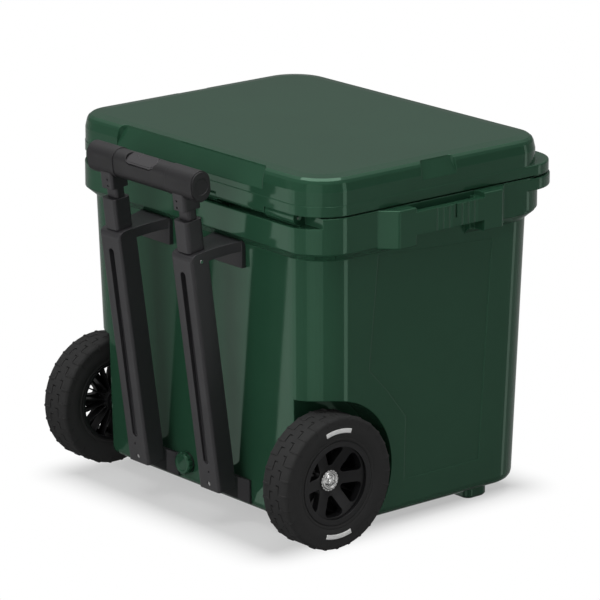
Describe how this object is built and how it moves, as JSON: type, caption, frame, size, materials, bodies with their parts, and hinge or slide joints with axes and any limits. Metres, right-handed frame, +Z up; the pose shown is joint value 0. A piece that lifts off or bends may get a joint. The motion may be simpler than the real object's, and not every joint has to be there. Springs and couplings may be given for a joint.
{
  "type": "cooler on wheels",
  "caption": "Wheeled insulated cooler: tapered chest with side carry handles, hinged lid with front latches, wheels on an axle and a telescoping pull handle.",
  "frame": {"origin": "centre of the bounding box on the ground", "axes": "+X to the cooler's right-hand end seen from the back, +Y towards the wheels and pull handle, +Z up"},
  "size_m": [0.57, 0.527, 0.5034],
  "materials": {
    "green_plastic": "moulded dark green plastic, satin to glossy",
    "liner_plastic": "smooth off-white food-grade plastic",
    "foam": "rigid insulating foam",
    "black_plastic": "moulded black plastic, satin",
    "tyre_rubber": "moulded black tread",
    "soft_rubber": "soft black rubber",
    "steel": "bright zinc-plated steel",
    "tube_metal": "drawn aluminium tube"
  },
  "bodies": {
    "chest": {"body_shell": "green_plastic", "body_foam": "foam", "body_liner": "liner_plastic", "drain_fitting": "black_plastic", "front_feet": "green_plastic", "hinge_pins": "steel", "axle": "steel", "axle_spacers": "black_plastic", "axle_washers": "steel", "axle_bolts": "steel", "rail_left": "black_plastic", "rail_right": "black_plastic", "rail_screws": "steel"},
    "lid": {"lid_shell": "green_plastic", "lid_foam": "foam", "lid_liner": "liner_plastic", "lid_gasket": "soft_rubber", "latch_pins": "steel"},
    "latch_left": {"latch_left": "soft_rubber"},
    "latch_right": {"latch_right": "soft_rubber"},
    "wheel_left": {"tyre_left": "tyre_rubber", "rim_left": "black_plastic", "bush_left": "steel"},
    "wheel_right": {"tyre_right": "tyre_rubber", "rim_right": "black_plastic", "bush_right": "steel"},
    "handle_middle": {"middle_tubes": "tube_metal", "tube_collars": "black_plastic"},
    "handle_top": {"inner_tubes": "tube_metal", "grip_sockets": "black_plastic", "grip_centre": "black_plastic", "grip_end_left": "black_plastic", "grip_end_right": "black_plastic"},
    "button": {"release_button": "black_plastic"},
    "plug": {"drain_plug": "green_plastic"}
  },
  "joints": [
    {"name": "lid_hinge", "type": "hinge", "parent": "chest", "child": "lid", "pos_m": [0, 0.16951, 0.4465], "axis": [-1, 0, 0], "range_deg": [0, 95]},
    {"name": "latch_left_pivot", "type": "hinge", "parent": "lid", "child": "latch_left", "pos_m": [-0.15, -0.25218, 0.475], "axis": [-1, 0, 0], "range_deg": [0, 120]},
    {"name": "latch_right_pivot", "type": "hinge", "parent": "lid", "child": "latch_right", "pos_m": [0.15, -0.25218, 0.475], "axis": [-1, 0, 0], "range_deg": [0, 120]},
    {"name": "wheel_left_spin", "type": "hinge", "parent": "chest", "child": "wheel_left", "pos_m": [-0.2388, 0.14042, 0.0915], "axis": [1, 0, 0], "continuous": true},
    {"name": "wheel_right_spin", "type": "hinge", "parent": "chest", "child": "wheel_right", "pos_m": [0.2388, 0.14042, 0.0915], "axis": [1, 0, 0], "continuous": true},
    {"name": "handle_middle_slide", "type": "slide", "parent": "chest", "child": "handle_middle", "axis": [0, 0.1207, 0.9927], "range_m": [0, 0.25]},
    {"name": "handle_top_slide", "type": "slide", "parent": "handle_middle", "child": "handle_top", "axis": [0, 0.1207, 0.9927], "range_m": [0, 0.25]},
    {"name": "release_button_press", "type": "slide", "parent": "handle_top", "child": "button", "axis": [0, -0.6008, -0.7994], "range_m": [0, 0.003], "stiffness_N_per_m": 300, "springref_m": -0.001},
    {"name": "drain_plug_pull", "type": "slide", "parent": "chest", "child": "plug", "axis": [0, 1, 0], "range_m": [0, 0.02]}
  ]
}
